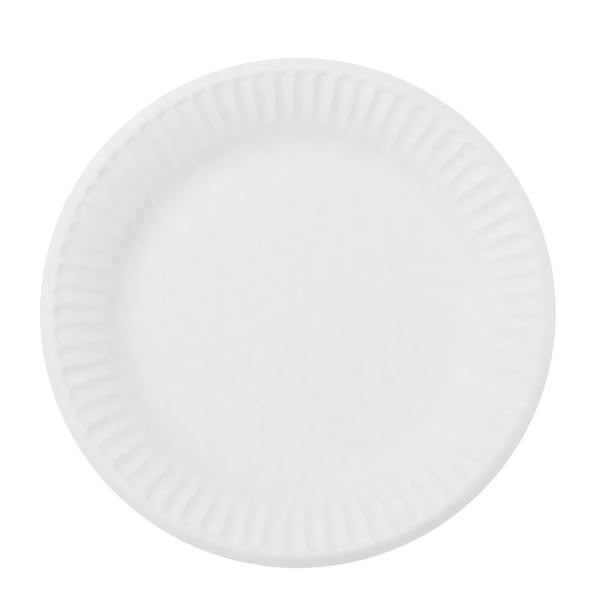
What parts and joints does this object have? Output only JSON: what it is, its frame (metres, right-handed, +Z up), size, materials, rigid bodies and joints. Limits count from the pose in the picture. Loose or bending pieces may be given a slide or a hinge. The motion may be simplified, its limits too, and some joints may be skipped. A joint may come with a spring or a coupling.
{
  "type": "paper plate",
  "caption": "Round white paper plate, one pressed sheet of board with a flat floor, a sloping fluted rim and a lip turned down at the edge.",
  "frame": {"origin": "centre of the flat underside, on the surface that the plate stands on", "axes": "+Z up along the plate's axis, towards the food side; X and Y lie in the floor, and every direction across it is alike"},
  "size_m": [0.23, 0.23, 0.0175],
  "materials": {
    "board": "matte"
  },
  "bodies": {
    "root": {"plate": "board"}
  },
  "joints": []
}
